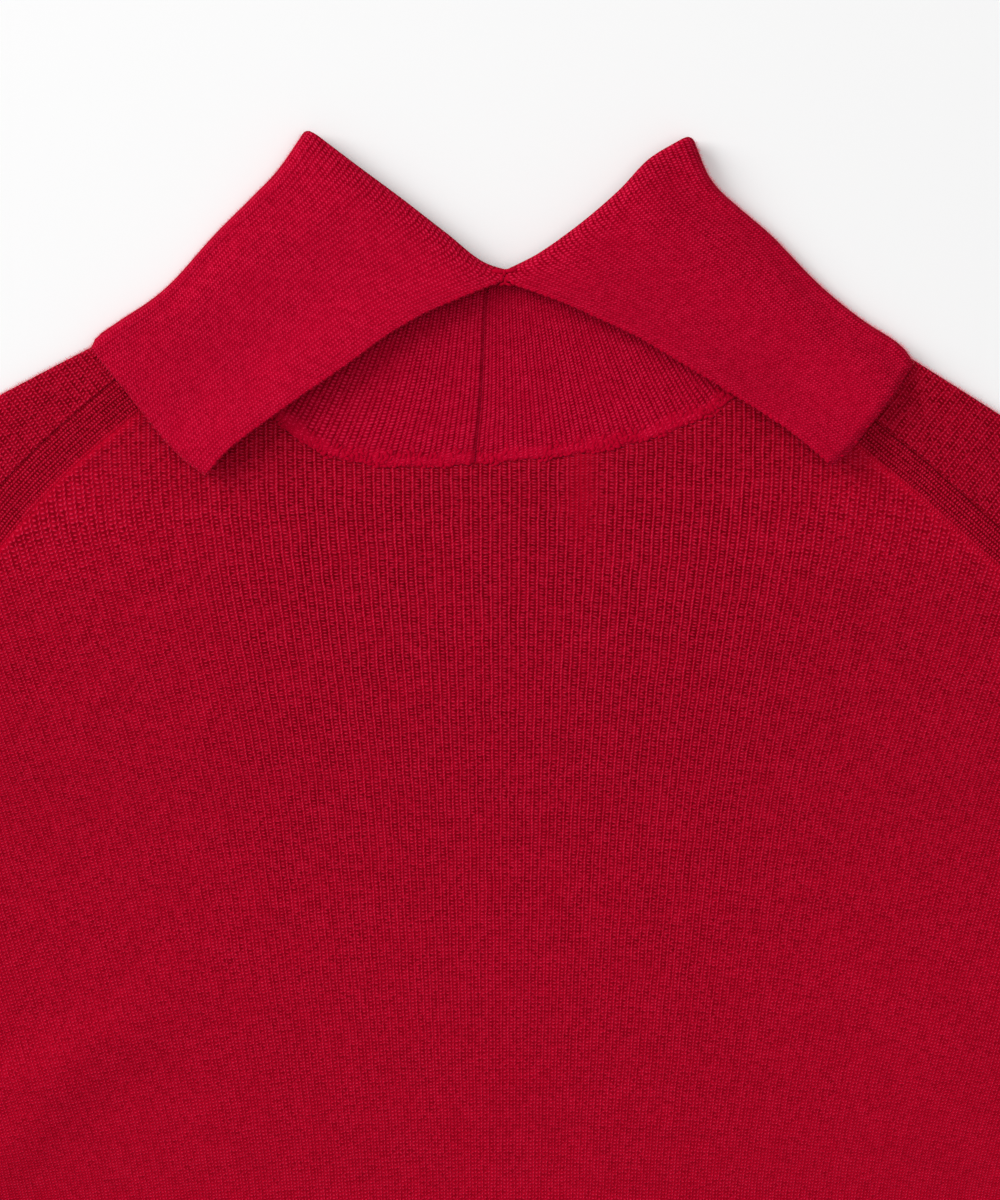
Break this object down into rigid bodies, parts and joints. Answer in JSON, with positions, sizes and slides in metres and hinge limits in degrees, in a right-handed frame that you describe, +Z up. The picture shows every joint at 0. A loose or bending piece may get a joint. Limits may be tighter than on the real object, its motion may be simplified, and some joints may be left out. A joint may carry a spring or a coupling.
{
  "type": "turtleneck sweater with split fold-over collar, laid flat back side up",
  "caption": "Red fine-gauge knit turtleneck sweater laid flat on its front, its tall fold-over collar split at the centre back and spread like two wings.",
  "frame": {"origin": "on the surface that the garment lies on, below the middle of its bounding box", "axes": "+X to the right as one looks down on the garment's back, +Y from the hem to the collar, +Z up from the surface"},
  "size_m": [1.1198, 0.6484, 0.0097],
  "materials": {
    "body_knit": "matte",
    "collar_knit": "matte"
  },
  "bodies": {
    "root": {"front": "body_knit", "back": "body_knit", "sleeve_left": "body_knit", "sleeve_right": "body_knit", "collar": "collar_knit"}
  },
  "joints": []
}
